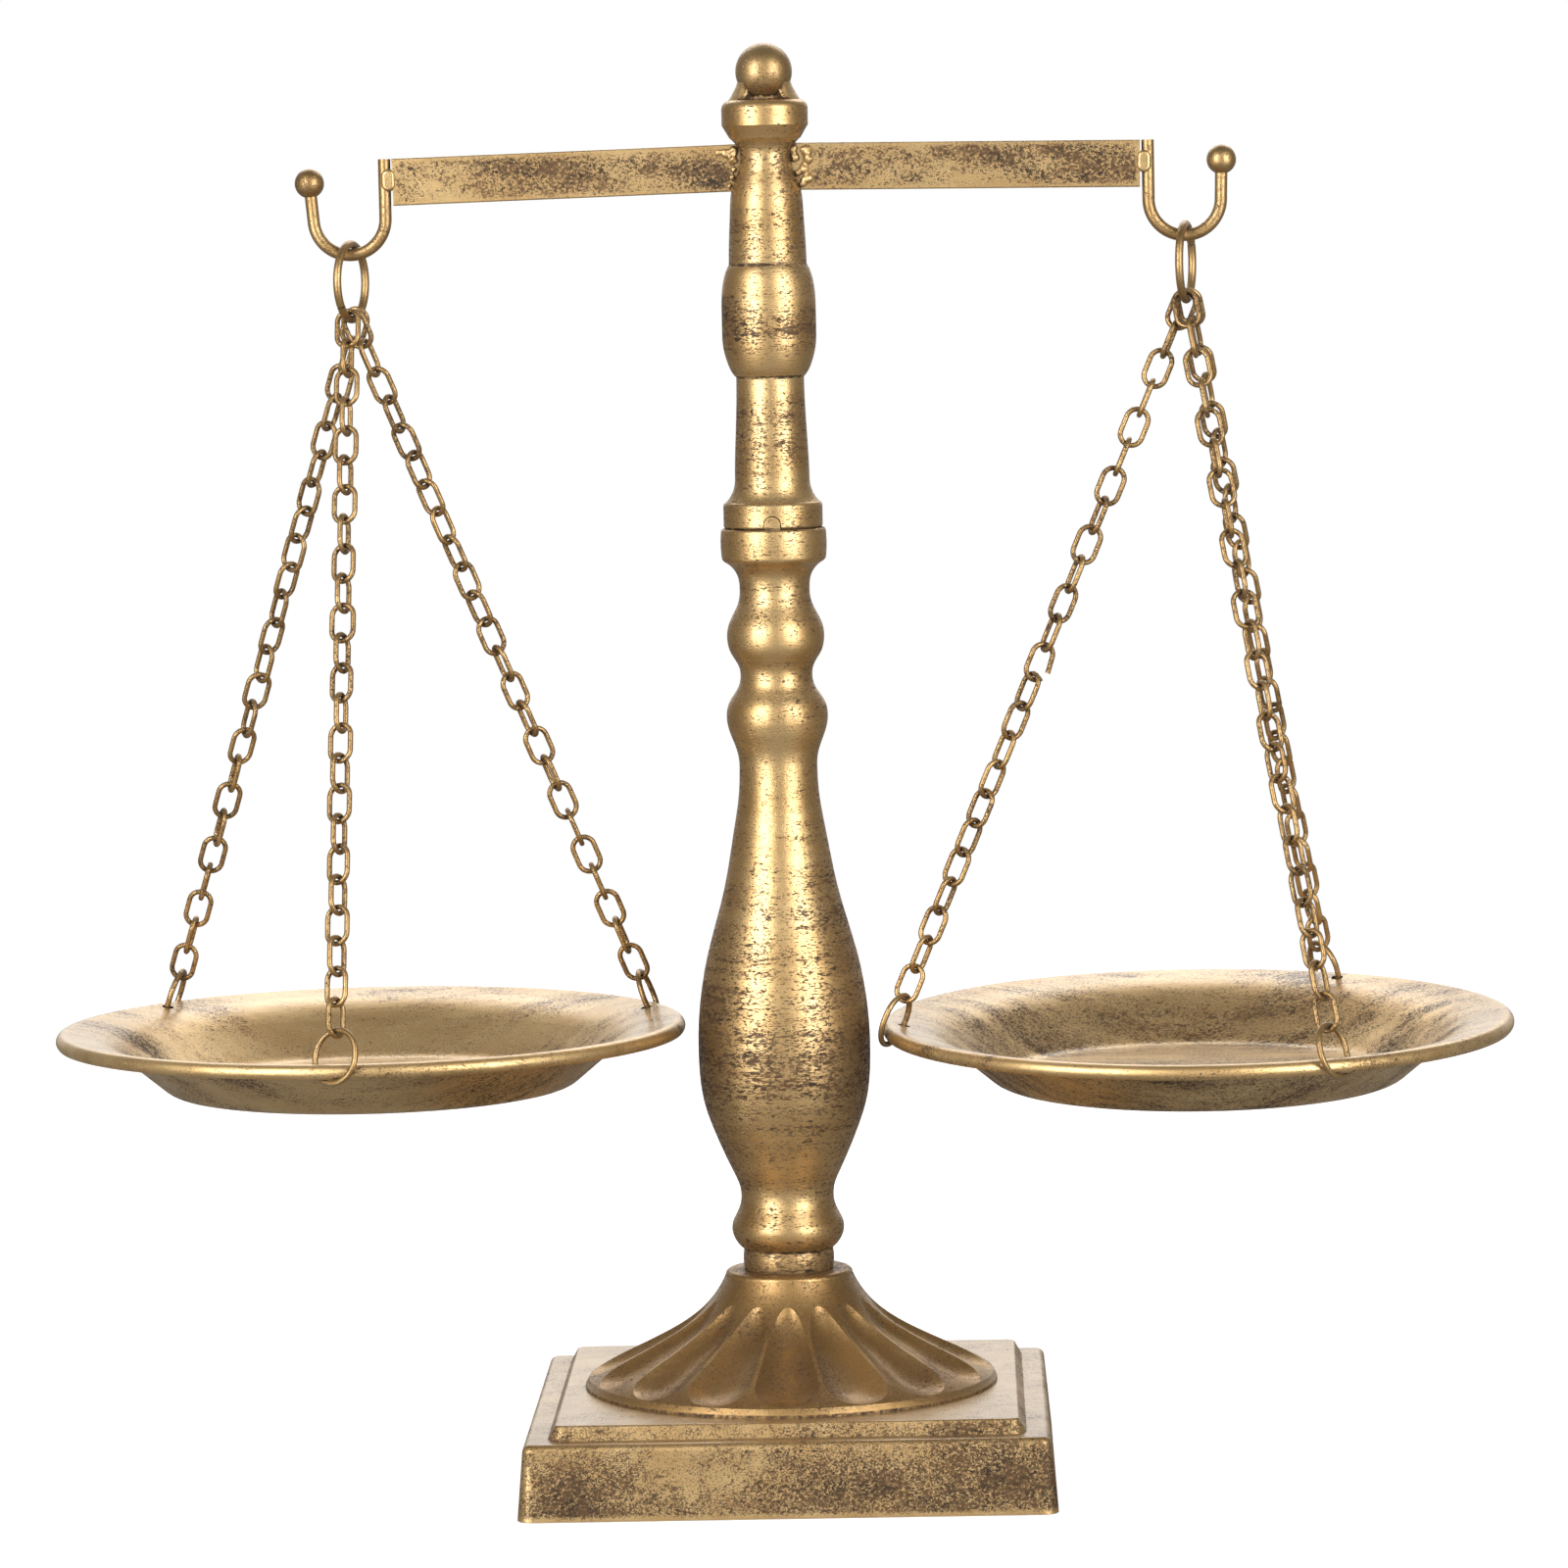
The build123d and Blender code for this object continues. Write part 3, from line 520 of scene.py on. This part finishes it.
# The camera sees a nearly white floor. The object sees a grey one, so its underside stays dark.
FLOOR_SEEN = (0.9, 0.9, 0.9, 1)
FLOOR_LIT = (0.3, 0.3, 0.3, 1)
FLOOR_GLOW = 0.55
pale = Shader("pale_floor")
matte = pale.add("ShaderNodeBsdfDiffuse")
glow = pale.add("ShaderNodeEmission")
both = pale.add("ShaderNodeAddShader")
seen = pale.add("ShaderNodeLightPath").outputs["Is Camera Ray"]
pale.feed(matte.inputs["Color"], pale.mix(seen, FLOOR_LIT, FLOOR_SEEN))
pale.feed(glow.inputs["Strength"], pale.math("MULTIPLY", seen, FLOOR_GLOW))
pale.feed(both.inputs[0], matte.outputs[0])
pale.feed(both.inputs[1], glow.outputs[0])
pale.feed(pale.output.inputs["Surface"], both.outputs[0])
floor_mesh.materials.append(pale.material)


def softbox(name, azimuth, elevation, distance, width, height, power, target=(0, 0, 0.18)):
    """Rectangular light that faces the object; azimuth 0 is straight in front."""
    data = bpy.data.lights.new(name, "AREA")
    data.shape = "RECTANGLE"
    data.size = width
    data.size_y = height
    data.energy = power
    light = bpy.data.objects.new(name, data)
    a, e = math.radians(azimuth), math.radians(elevation)
    away = Vector((math.sin(a) * math.cos(e), -math.cos(a) * math.cos(e), math.sin(e)))
    light.location = Vector(target) + away * distance
    light.rotation_mode = "QUATERNION"
    light.rotation_quaternion = away.to_track_quat("Z", "Y")
    scene.collection.objects.link(light)


softbox("softbox_left", -38, 14, 1.5, 0.75, 1.4, 30)
softbox("softbox_right", 42, 14, 1.5, 0.75, 1.4, 26)
softbox("softbox_behind", 180, 40, 1.6, 1.6, 0.7, 8)

# The world is dim in front, brighter behind, and has a white sweep low down behind the object.
world = bpy.data.worlds.new("studio")
scene.world = world
world.use_nodes = True
studio = Nodes(world.node_tree, "ShaderNodeOutputWorld")
way = studio.split(studio.add("ShaderNodeTexCoord").outputs["Generated"])
room = studio.step(way["Y"], -0.3, 0.6, 0.12, 0.30)
sweep = studio.step(way["Y"], 0.7, 0.95, 0.0, 0.7)
low_down = studio.step(way["Z"], -0.02, 0.05)
strength = studio.math("MULTIPLY_ADD", sweep, low_down, room)
background = studio.add("ShaderNodeBackground")
background.inputs["Color"].default_value = (1, 1, 1, 1)
seen = studio.add("ShaderNodeLightPath").outputs["Is Camera Ray"]
studio.feed(background.inputs["Strength"], studio.blend(seen, strength, 1.0))
studio.feed(studio.output.inputs["Surface"], background.outputs[0])

# ------------------------------------------------------------------ camera

# The camera stands a little to the right of the middle and above the cap, and leans slightly.
CAMERA_AT = (0.0456, -1.799, 0.3457)
CAMERA_PITCH = 5.264
CAMERA_HEADING = 1.409
CAMERA_ROLL = -1.22
camera_data = bpy.data.cameras.new("camera")
camera_data.lens = 159.75
camera_data.sensor_width = 36
camera_data.clip_start = 0.05
camera_data.clip_end = 30
camera = bpy.data.objects.new("camera", camera_data)
scene.collection.objects.link(camera)
camera.matrix_world = (
    Matrix.Translation(CAMERA_AT)
    @ Matrix.Rotation(math.radians(CAMERA_HEADING), 4, "Z")
    @ Matrix.Rotation(math.radians(90 - CAMERA_PITCH), 4, "X")
    @ Matrix.Rotation(math.radians(CAMERA_ROLL), 4, "Z")
)
scene.camera = camera
scene.view_settings.view_transform = "Standard"
scene.view_settings.look = "None"
